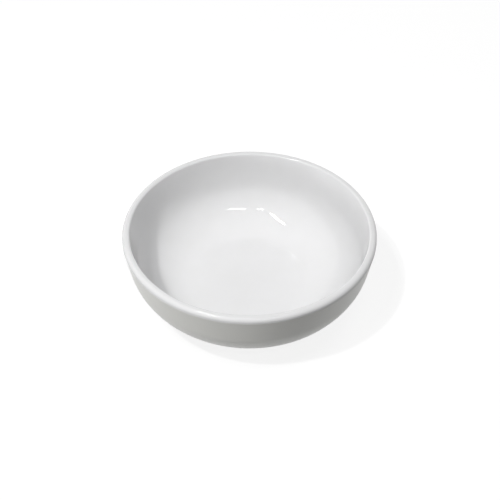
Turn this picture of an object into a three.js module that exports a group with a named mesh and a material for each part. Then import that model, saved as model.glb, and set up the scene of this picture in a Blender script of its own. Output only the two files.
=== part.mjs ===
// Melamine bowl: a low round table bowl, compression moulded from white melamine in one pressing,
// with a thin coat of melamine glaze cured onto its food side in a second pressing.
// Millimetres, +Z up. The origin is the centre of the plane that the foot ring stands on.
import * as THREE from "three";

// Overall sizes
const RIM_DIAMETER = 120; // across the outside of the rim, the widest line of the bowl
const HEIGHT = 40; // from the table to the crest of the rim

// Wall and floor
const RIM_THICKNESS = 3.4; // across the top of the wall, before its edges are rounded
const FLOOR_THICKNESS = 3; // from the food side down to the underside beside the foot ring
const OUTER_DRAFT = THREE.MathUtils.degToRad(10); // lean of the outer wall, for release from the cavity
const INNER_DRAFT = THREE.MathUtils.degToRad(10.5); // lean of the inner wall, for release from the punch
const OUTER_CORNER = 28.5; // radius between the outer wall and the underside
const INNER_CORNER = 25.5; // radius between the inner wall and the floor

// Rim: a rounded edge above a narrow upright band, where the flash is ground away
const RIM_INNER_ROUND = 1; // radius on the edge towards the food
const RIM_OUTER_ROUND = 2; // radius on the edge that a lip or a hand meets
const TRIM_BAND = 0.6; // height of the upright band under the outer edge

// Foot ring
const FOOT_DIAMETER = 54; // across the outer edge of the flat that stands on the table
const FOOT_WIDTH = 3.2; // width of that flat, with its edges
const FOOT_HEIGHT = 2; // from the table to the underside beside the ring
const RECESS_HEIGHT = 1.5; // from the table to the underside inside the ring
const FOOT_DRAFT = THREE.MathUtils.degToRad(15); // lean of the ring's two flanks
const FOOT_FILLET = 0.8; // radius on the ring's edges and at its roots

// Glaze coat
const GLAZE = 0.2; // thickness of the coat
const BOND = 0.02; // line between the coat and the moulding under it

// Facets
const SIDES = 72; // around the bowl's axis
const CORNER_STEPS = 11; // along each large corner
const RIM_STEPS = 4; // along each edge of the rim
const FOOT_STEPS = 2; // along each fillet of the foot ring

// Heights and radii that follow from the sizes above
const RIM_RADIUS = RIM_DIAMETER / 2;
const FLOOR_LEVEL = FOOT_HEIGHT + FLOOR_THICKNESS;
const PARTING_LEVEL = HEIGHT - RIM_OUTER_ROUND - TRIM_BAND; // where punch and cavity meet, and the coat ends
const FOOT_OUTSIDE = FOOT_DIAMETER / 2;
const FOOT_INSIDE = FOOT_OUTSIDE - FOOT_WIDTH;

const moulded = new THREE.MeshStandardMaterial({ color: 0xe6e7e4, roughness: 0.34, metalness: 0 });
const glazed = new THREE.MeshStandardMaterial({ color: 0xf1f2f1, roughness: 0.12, metalness: 0 });

// A stretch of the half section from its corners. Each corner is { at: [radius, level] }, and one with a
// fillet is rounded off by a tangent arc of that radius in the given number of steps.
function stretch(corners) {
  const points = [];
  corners.forEach(({ at, fillet, steps }, i) => {
    const corner = new THREE.Vector2(...at);
    if (!fillet) {
      points.push(corner);
      return;
    }
    const toBefore = new THREE.Vector2(...corners[i - 1].at).sub(corner).normalize();
    const toAfter = new THREE.Vector2(...corners[i + 1].at).sub(corner).normalize();
    const halfAngle = Math.acos(toBefore.dot(toAfter)) / 2;
    const start = toBefore.clone().multiplyScalar(fillet / Math.tan(halfAngle)).add(corner);
    const centre = toBefore.clone().add(toAfter).setLength(fillet / Math.sin(halfAngle)).add(corner);
    const turn = Math.sign(toAfter.cross(toBefore)) * (Math.PI - 2 * halfAngle);
    for (let step = 0; step <= steps; step++) {
      points.push(start.clone().rotateAround(centre, (turn * step) / steps));
    }
  });
  return points;
}

// The face that the punch forms, from the middle of the floor over the rim to the parting line, at a
// depth below the finished surface. Each fillet keeps its centre at every depth.
function foodSide(depth) {
  const floor = FLOOR_LEVEL - depth;
  const crest = HEIGHT - depth;
  const outside = RIM_RADIUS - depth;
  const wallTop = RIM_RADIUS - RIM_THICKNESS + depth / Math.cos(INNER_DRAFT);
  const wallAt = (level) => wallTop - (HEIGHT - level) * Math.tan(INNER_DRAFT);
  return stretch([
    { at: [0, floor] },
    { at: [wallAt(floor), floor], fillet: INNER_CORNER + depth, steps: CORNER_STEPS },
    { at: [wallAt(crest), crest], fillet: RIM_INNER_ROUND - depth, steps: RIM_STEPS },
    { at: [outside, crest], fillet: RIM_OUTER_ROUND - depth, steps: RIM_STEPS },
    { at: [outside, PARTING_LEVEL] },
  ]);
}

// The face that the cavity forms, from the middle of the underside past the foot ring and up the outer
// wall to the parting line.
function cavitySide() {
  const flank = Math.tan(FOOT_DRAFT);
  const wallFoot = RIM_RADIUS - (PARTING_LEVEL - FOOT_HEIGHT) * Math.tan(OUTER_DRAFT);
  const rounded = { fillet: FOOT_FILLET, steps: FOOT_STEPS };
  return stretch([
    { at: [0, RECESS_HEIGHT] },
    { at: [FOOT_INSIDE - RECESS_HEIGHT * flank, RECESS_HEIGHT], ...rounded },
    { at: [FOOT_INSIDE, 0], ...rounded },
    { at: [FOOT_OUTSIDE, 0], ...rounded },
    { at: [FOOT_OUTSIDE + FOOT_HEIGHT * flank, FOOT_HEIGHT], ...rounded },
    { at: [wallFoot, FOOT_HEIGHT], fillet: OUTER_CORNER, steps: CORNER_STEPS },
    { at: [RIM_RADIUS, PARTING_LEVEL] },
  ]);
}

// A solid of revolution about +Z from a half section that starts and ends on the axis.
function turned(name, halfSection, material) {
  const geometry = new THREE.LatheGeometry(halfSection, SIDES).rotateX(Math.PI / 2);
  const mesh = new THREE.Mesh(geometry, material);
  mesh.name = name;
  return mesh;
}

// The moulding: foot ring, underside, wall and rim. Its top is sunk by the coat's thickness, which
// leaves a step at the parting line for the edge of the coat to stand on.
function bowlBody() {
  const halfSection = [...cavitySide(), ...foodSide(GLAZE + BOND).reverse()];
  return turned("bowl_body", halfSection, moulded);
}

// The coat: one thin skin over the floor, the wall and the rim, flush with the outer wall at its edge.
function glazeCoat() {
  const halfSection = [...foodSide(GLAZE), ...foodSide(0).reverse()];
  return turned("glaze_coat", halfSection, glazed);
}

const bowl = new THREE.Group();
bowl.name = "melamine_bowl";
bowl.add(bowlBody(), glazeCoat());

export default bowl;
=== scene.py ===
"""White melamine bowl: the moulding and its glaze at full smoothness, with finishes, light and camera.

Metres, +Z up, in the CAD frame: the origin is the middle of the plane that the foot ring stands on.
"""

import math

import bmesh
import bpy
from mathutils import Matrix, Vector


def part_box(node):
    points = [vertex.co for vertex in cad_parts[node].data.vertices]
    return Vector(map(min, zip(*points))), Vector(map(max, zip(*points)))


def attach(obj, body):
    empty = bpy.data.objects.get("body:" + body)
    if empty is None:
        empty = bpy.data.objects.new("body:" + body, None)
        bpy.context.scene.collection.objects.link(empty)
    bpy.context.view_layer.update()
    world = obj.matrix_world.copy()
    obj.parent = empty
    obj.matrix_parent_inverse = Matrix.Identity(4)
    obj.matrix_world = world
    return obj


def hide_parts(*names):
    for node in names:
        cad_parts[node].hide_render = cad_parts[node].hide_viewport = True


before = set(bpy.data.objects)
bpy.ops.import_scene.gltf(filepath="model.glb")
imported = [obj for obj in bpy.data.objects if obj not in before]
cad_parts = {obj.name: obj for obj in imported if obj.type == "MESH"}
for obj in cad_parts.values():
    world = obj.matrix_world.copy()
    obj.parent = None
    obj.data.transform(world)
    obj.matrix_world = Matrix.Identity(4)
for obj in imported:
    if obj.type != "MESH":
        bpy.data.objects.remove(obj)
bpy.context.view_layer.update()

MM = 0.001

# Sizes of the bowl in millimetres. The frame gives the outline, and the rest repeats the CAD sizes.
_, BODY_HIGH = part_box("bowl_body")
_, COAT_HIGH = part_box("glaze_coat")
RIM_RADIUS = (BODY_HIGH / MM).x
HEIGHT = (COAT_HIGH / MM).z
RIM_THICKNESS = 3.4
RIM_INNER_ROUND = 1.0
RIM_OUTER_ROUND = 2.0
TRIM_BAND = 0.6
FLOOR_LEVEL = 5.0
OUTER_DRAFT = math.radians(10)
INNER_DRAFT = math.radians(10.5)
OUTER_CORNER = 28.5
INNER_CORNER = 25.5
FOOT_OUTSIDE = 27.0
FOOT_WIDTH = 3.2
FOOT_HEIGHT = 2.0
RECESS_HEIGHT = 1.5
FOOT_DRAFT = math.radians(15)
FOOT_FILLET = 0.8
GLAZE = 0.2
BOND = 0.02
PARTING_LEVEL = HEIGHT - RIM_OUTER_ROUND - TRIM_BAND
WITNESS = 0.06  # chamfer on both sides of the parting line, where the flash was ground off

# Smoothness of the turned pieces
SIDES = 256
CORNER_SEGMENTS = 28
RIM_SEGMENTS = 10
FOOT_SEGMENTS = 6
SHARP_ANGLE = math.radians(30)
MERGE_DISTANCE = 0.0001

# Sizes in the finishes, in millimetres
MOULDING_CLOUDS = 7
MOULDING_PEEL = 2.5
GLAZE_CLOUDS = 9
GLAZE_PEEL = 4
PEEL_HEIGHT = 0.01
SCUFF_LEVEL = 0.1  # below this level the foot ring rubs on the table
SCUFFS = 0.5  # real scuffs are a tenth of a millimetre wide, and are drawn wider, so that they show
RUBBING_RINGS = 20  # puts the rings about 6 mm apart, coarser than real ones, so that they show

# Optics of the finishes
MELAMINE_IOR = 1.6
GROUND_MOULDING_ROUGHNESS = 0.6
GROUND_GLAZE_ROUGHNESS = 0.4

# The stage, in metres
FLOOR_REACH = 30
FLOOR_GAP = 0.02 * MM  # keeps the floor a hair below the foot ring
FLOOR_GLOW = 0.85  # radiance that lifts the floor's shade to white
LAMP_DISTANCE = 1.5

# The photograph's view, in metres unless the name says otherwise
FRAME_PIXELS = 500
SENSOR_MM = 36
FOCAL_PIXELS = 997
CAMERA_ELEVATION = math.radians(42.86)
CAMERA_DISTANCE = 0.48
CAMERA_TARGET = Vector((0.24, 0, 25.4)) * MM


def linear(hex_colour):
    """An sRGB hex colour as the linear RGBA that Blender's sockets take."""
    channels = [int(hex_colour[i : i + 2], 16) / 255 for i in (1, 3, 5)]
    return [c / 12.92 if c <= 0.04045 else ((c + 0.055) / 1.055) ** 2.4 for c in channels] + [1]


def add(tree, kind, inputs=(), **settings):
    """Adds a node. settings are its properties.

    inputs gives each socket a value, or the output that feeds it. Sockets whose names repeat go by
    number: on a Mix, 0 is the share, 2 and 3 are numbers, 6 and 7 colours, and output 2 the colour.
    """
    node = tree.nodes.new("ShaderNode" + kind)
    for name, value in settings.items():
        setattr(node, name, value)
    for socket, value in dict(inputs).items():
        if isinstance(value, bpy.types.NodeSocket):
            tree.links.new(value, node.inputs[socket])
        else:
            node.inputs[socket].default_value = value
    return node


def new_material(name):
    """A material with an empty node tree."""
    material = bpy.data.materials.new(name)
    material.use_nodes = True
    material.node_tree.nodes.clear()
    return material


def half_section(bm, corners):
    """Draws a wire through corners of (radius, level, fillet, segments), each rounded by its fillet."""
    verts = [bm.verts.new((radius, 0, level)) for radius, level, _, _ in corners]
    for start, end in zip(verts, verts[1:]):
        bm.edges.new((start, end))
    places = [vert.co.copy() for vert in verts]
    for i, (_, _, fillet, segments) in enumerate(corners):
        if fillet:
            half_angle = (places[i - 1] - places[i]).angle(places[i + 1] - places[i]) / 2
            bmesh.ops.bevel(
                bm,
                geom=[verts[i]],
                affect="VERTICES",
                offset_type="OFFSET",
                offset=fillet / math.tan(half_angle),
                segments=segments,
                profile=0.5,
                material=-1,
            )


def turned(name, corners, material):
    """A closed piece spun about +Z from a half section that starts and ends on the axis."""
    bm = bmesh.new()
    half_section(bm, corners)
    bmesh.ops.spin(
        bm,
        geom=bm.verts[:] + bm.edges[:],
        cent=(0, 0, 0),
        axis=(0, 0, 1),
        angle=math.tau,
        steps=SIDES,
        use_merge=True,
    )
    bmesh.ops.remove_doubles(bm, verts=bm.verts[:], dist=MERGE_DISTANCE)
    bmesh.ops.recalc_face_normals(bm, faces=bm.faces[:])
    bmesh.ops.scale(bm, vec=(MM, MM, MM), verts=bm.verts[:])
    for face in bm.faces:
        face.smooth = True
    for edge in bm.edges:
        edge.smooth = edge.calc_face_angle() < SHARP_ANGLE
    mesh = bpy.data.meshes.new(name)
    bm.to_mesh(mesh)
    bm.free()
    mesh.materials.append(material)
    piece = bpy.data.objects.new(name, mesh)
    bpy.context.scene.collection.objects.link(piece)
    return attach(piece, "root")


def food_side(depth, edge):
    """Corners of the face that the punch forms, at this depth below it.

    They run from the middle of the floor to the parting line, where edge is the chamfer.
    """
    floor_level = FLOOR_LEVEL - depth
    crest = HEIGHT - depth
    outside = RIM_RADIUS - depth
    wall_top = RIM_RADIUS - RIM_THICKNESS + depth / math.cos(INNER_DRAFT)
    lean = math.tan(INNER_DRAFT)
    return [
        (0, floor_level, 0, 0),
        (wall_top - (HEIGHT - floor_level) * lean, floor_level, INNER_CORNER + depth, CORNER_SEGMENTS),
        (wall_top - (HEIGHT - crest) * lean, crest, RIM_INNER_ROUND - depth, RIM_SEGMENTS),
        (outside, crest, RIM_OUTER_ROUND - depth, RIM_SEGMENTS),
        (outside, PARTING_LEVEL, edge, 1),
    ]


def cavity_side():
    """Corners of the face that the cavity forms, from the middle of the underside to the parting line."""
    flank = math.tan(FOOT_DRAFT)
    foot_inside = FOOT_OUTSIDE - FOOT_WIDTH
    wall_foot = RIM_RADIUS - (PARTING_LEVEL - FOOT_HEIGHT) * math.tan(OUTER_DRAFT)
    foot = (FOOT_FILLET, FOOT_SEGMENTS)
    return [
        (0, RECESS_HEIGHT, 0, 0),
        (foot_inside - RECESS_HEIGHT * flank, RECESS_HEIGHT, *foot),
        (foot_inside, 0, *foot),
        (FOOT_OUTSIDE, 0, *foot),
        (FOOT_OUTSIDE + FOOT_HEIGHT * flank, FOOT_HEIGHT, *foot),
        (wall_foot, FOOT_HEIGHT, OUTER_CORNER, CORNER_SEGMENTS),
        (RIM_RADIUS, PARTING_LEVEL, WITNESS, 1),
    ]


def moulded_melamine():
    """White melamine resin with a cellulose filler, pressed in a polished mould, trimmed by grinding.

    The eye gets a hardly warm, faintly cloudy white, a half gloss with a fine orange peel, a matt
    line where the flash was ground off and a scuffed flat under the foot.
    """
    material = new_material("moulded_melamine")
    tree = material.node_tree
    place = add(tree, "TexCoord").outputs["Object"]
    level = add(tree, "SeparateXYZ", {0: place}).outputs["Z"]
    cloud_scale = 1 / (MOULDING_CLOUDS * MM)
    clouds = add(tree, "TexNoise", {"Vector": place, "Scale": cloud_scale, "Detail": 3}).outputs["Fac"]
    whites = {0: clouds, 6: linear("#E1E1DC"), 7: linear("#E6E6E1")}
    white = add(tree, "Mix", whites, data_type="RGBA").outputs[2]
    scuff_scale = 1 / (SCUFFS * MM)
    scuffs = add(tree, "TexNoise", {"Vector": place, "Scale": scuff_scale, "Detail": 4}).outputs["Fac"]
    on_foot = add(tree, "Math", {0: level, 1: SCUFF_LEVEL * MM}, operation="LESS_THAN").outputs[0]
    worn = add(tree, "Math", {0: on_foot, 1: scuffs}, operation="MULTIPLY").outputs[0]
    colour = add(tree, "Mix", {0: worn, 6: white, 7: linear("#BDBDB8")}, data_type="RGBA").outputs[2]
    ground_from = (PARTING_LEVEL - WITNESS) * MM
    ground = add(tree, "Math", {0: level, 1: ground_from}, operation="GREATER_THAN").outputs[0]
    matt = add(tree, "Math", {0: ground, 1: worn}, operation="MAXIMUM").outputs[0]
    satin = add(tree, "MapRange", {"Value": clouds, "To Min": 0.26, "To Max": 0.36}).outputs[0]
    roughness = add(tree, "Mix", {0: matt, 2: satin, 3: GROUND_MOULDING_ROUGHNESS}).outputs[0]
    peel_scale = 1 / (MOULDING_PEEL * MM)
    peel = add(tree, "TexNoise", {"Vector": place, "Scale": peel_scale, "Detail": 2}).outputs["Fac"]
    bump = add(tree, "Bump", {"Height": peel, "Strength": 0.3, "Distance": PEEL_HEIGHT * MM}).outputs[0]
    finish = {"Base Color": colour, "Roughness": roughness, "IOR": MELAMINE_IOR, "Normal": bump}
    shader = add(tree, "BsdfPrincipled", finish)
    add(tree, "OutputMaterial", {"Surface": shader.outputs[0]})
    return material


def melamine_glaze():
    """Clear melamine resin cured over the white moulding by a second pressing, then used with spoons.

    The eye gets a glassy white with sharp mirror marks, slightly wavy from the pressing, and faint
    rings of rubbing round the floor. Its edge, on the upright band under the rim, is ground matt with
    the moulding.
    """
    material = new_material("melamine_glaze")
    tree = material.node_tree
    place = add(tree, "TexCoord").outputs["Object"]
    level = add(tree, "SeparateXYZ", {0: place}).outputs["Z"]
    cloud_scale = 1 / (GLAZE_CLOUDS * MM)
    clouds = add(tree, "TexNoise", {"Vector": place, "Scale": cloud_scale, "Detail": 3}).outputs["Fac"]
    whites = {0: clouds, 6: linear("#E5E5E5"), 7: linear("#E9E9EA")}
    colour = add(tree, "Mix", whites, data_type="RGBA").outputs[2]
    ring_scale = 1 / (RUBBING_RINGS * MM)
    marks = {"Vector": place, "Scale": ring_scale, "Distortion": 3, "Detail": 3, "Detail Scale": 2}
    rings = add(tree, "TexWave", marks, wave_type="RINGS", rings_direction="Z").outputs["Fac"]
    gloss = add(tree, "MapRange", {"Value": rings, "To Min": 0.03, "To Max": 0.055}).outputs[0]
    flat = add(tree, "VectorMath", {0: place, 1: (1, 1, 0)}, operation="MULTIPLY").outputs[0]
    radius = add(tree, "VectorMath", {0: flat}, operation="LENGTH").outputs["Value"]
    edge_from = (RIM_RADIUS - WITNESS) * MM
    on_edge = add(tree, "Math", {0: radius, 1: edge_from}, operation="GREATER_THAN").outputs[0]
    edge_top = (PARTING_LEVEL + TRIM_BAND) * MM
    under_rim = add(tree, "Math", {0: level, 1: edge_top}, operation="LESS_THAN").outputs[0]
    ground = add(tree, "Math", {0: on_edge, 1: under_rim}, operation="MULTIPLY").outputs[0]
    roughness = add(tree, "Mix", {0: ground, 2: gloss, 3: GROUND_GLAZE_ROUGHNESS}).outputs[0]
    peel_scale = 1 / (GLAZE_PEEL * MM)
    peel = add(tree, "TexNoise", {"Vector": place, "Scale": peel_scale, "Detail": 2}).outputs["Fac"]
    bump = add(tree, "Bump", {"Height": peel, "Strength": 0.1, "Distance": PEEL_HEIGHT * MM}).outputs[0]
    finish = {"Base Color": colour, "Roughness": roughness, "IOR": MELAMINE_IOR, "Normal": bump}
    shader = add(tree, "BsdfPrincipled", finish)
    add(tree, "OutputMaterial", {"Surface": shader.outputs[0]})
    return material


def bowl():
    """The two pieces of the bowl."""
    seat = food_side(GLAZE + BOND, 0)
    moulding = turned("moulding", cavity_side() + seat[::-1], moulded_melamine())
    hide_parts("bowl_body")
    coat = food_side(0, WITNESS) + food_side(GLAZE, 0)[::-1]
    glaze = turned("glaze", coat, melamine_glaze())
    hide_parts("glaze_coat")


def seen_directly(tree):
    """1 for rays from the camera, a reflection or through glass, and 0 for light that bounces."""
    path = add(tree, "LightPath").outputs
    eye_or_mirror = {0: path["Is Camera Ray"], 1: path["Is Glossy Ray"]}
    seen = add(tree, "Math", eye_or_mirror, operation="MAXIMUM").outputs[0]
    return add(tree, "Math", {0: seen, 1: path["Is Transmission Ray"]}, operation="MAXIMUM").outputs[0]


def floor_paint():
    """White to the eye and to reflections, with the bowl's shadow.

    To the light that bounces it is a grey table.
    """
    material = new_material("floor_paint")
    tree = material.node_tree
    table = add(tree, "BsdfDiffuse", {"Color": linear("#7F7F7F")})
    shadowed = add(tree, "BsdfDiffuse", {"Color": linear("#7C7C7C")})
    glow = add(tree, "Emission", {"Strength": FLOOR_GLOW})
    white = add(tree, "AddShader", {0: shadowed.outputs[0], 1: glow.outputs[0]})
    mix = add(tree, "MixShader", {0: seen_directly(tree), 1: table.outputs[0], 2: white.outputs[0]})
    add(tree, "OutputMaterial", {"Surface": mix.outputs[0]})
    return material


def floor():
    """A pale floor, far wider than the view."""
    bm = bmesh.new()
    bmesh.ops.create_grid(bm, x_segments=1, y_segments=1, size=FLOOR_REACH)
    bmesh.ops.translate(bm, vec=(0, 0, -FLOOR_GAP), verts=bm.verts[:])
    mesh = bpy.data.meshes.new("floor")
    bm.to_mesh(mesh)
    bm.free()
    mesh.materials.append(floor_paint())
    plane = bpy.data.objects.new("floor", mesh)
    bpy.context.scene.collection.objects.link(plane)


def surroundings():
    """White all round, to the eye and to reflections only."""
    world = bpy.data.worlds.new("surroundings")
    world.use_nodes = True
    tree = world.node_tree
    tree.nodes.clear()
    white = add(tree, "Background", {"Color": linear("#FFFFFF"), "Strength": seen_directly(tree)})
    add(tree, "OutputWorld", {"Surface": white.outputs[0]})
    bpy.context.scene.world = world


def hang(name, light, place):
    """Hangs a lamp that doesn't show in the picture itself."""
    holder = bpy.data.objects.new(name, light)
    holder.matrix_world = place
    holder.visible_camera = False
    bpy.context.scene.collection.objects.link(holder)
    return holder


def soft_lamp(name, azimuth, elevation, spread, level):
    """A round diffuser aimed at the bowl, which no surface mirrors.

    The angles are in degrees, and spread is its half angle. level is what it gives a white face that
    is square to it.
    """
    azimuth, elevation = math.radians(azimuth), math.radians(elevation)
    across = math.cos(elevation)
    towards = Vector((across * math.cos(azimuth), across * math.sin(azimuth), math.sin(elevation)))
    radius = LAMP_DISTANCE * math.tan(math.radians(spread))
    light = bpy.data.lights.new(name, "AREA")
    light.shape = "DISK"
    light.size = 2 * radius
    light.energy = level * math.pi**2 * (LAMP_DISTANCE**2 + radius**2)
    turn = (-towards).to_track_quat("-Z", "Y").to_matrix().to_4x4()
    holder = hang(name, light, Matrix.Translation(LAMP_DISTANCE * towards) @ turn)
    holder.visible_glossy = False


def tube_lamp(name, start, end, width, radiance):
    """A long lamp under the ceiling, which the glaze mirrors as a bright line.

    start, end and width are in metres.
    """
    start, end = Vector(start), Vector(end)
    middle = (start + end) / 2
    along = (end - start).normalized()
    across = middle.cross(along).normalized()
    away = along.cross(across).normalized()
    light = bpy.data.lights.new(name, "AREA")
    light.shape = "RECTANGLE"
    light.size = (end - start).length
    light.size_y = width
    light.energy = radiance * math.pi * light.size * light.size_y
    turn = Matrix((along, across, away)).transposed().to_4x4()
    hang(name, light, Matrix.Translation(middle) @ turn)


def lighting():
    """Soft lamps round the bowl, and tubes overhead. Azimuth 0 is +X, and -90 the camera's side."""
    soft_lamp("key", -142, 61, 1.0, 0.41)
    soft_lamp("overhead", 0, 76, 12, 0.19)
    soft_lamp("front", -90, 42, 12, 0.03)
    soft_lamp("low_left", -154, 4, 3.5, 0.21)
    soft_lamp("low_front", -120, 4, 3.5, 0.03)
    soft_lamp("low_right", 15, 4, 3.5, 0.09)
    soft_lamp("low_back", 90, 6, 5, 0.25)
    tube_lamp("front_right_tube", (0.069, -0.675, 1), (0.361, -0.688, 1), 0.045, 22)
    tube_lamp("front_left_tube", (-0.128, -0.663, 1), (-0.225, -0.66, 1), 0.045, 22)
    tube_lamp("left_tube", (-0.322, -0.47, 1), (-0.388, -0.08, 1), 0.035, 68)


def camera():
    """The photograph's view, from above the front."""
    data = bpy.data.cameras.new("camera")
    data.sensor_width = SENSOR_MM
    data.lens = FOCAL_PIXELS / FRAME_PIXELS * SENSOR_MM
    eye = bpy.data.objects.new("camera", data)
    back = Vector((0, -math.cos(CAMERA_ELEVATION), math.sin(CAMERA_ELEVATION)))
    eye.location = CAMERA_TARGET + CAMERA_DISTANCE * back
    eye.rotation_euler = back.to_track_quat("Z", "Y").to_euler()
    bpy.context.scene.collection.objects.link(eye)
    bpy.context.scene.camera = eye


bowl()
floor()
surroundings()
lighting()
camera()
bpy.context.scene.view_settings.view_transform = "Standard"
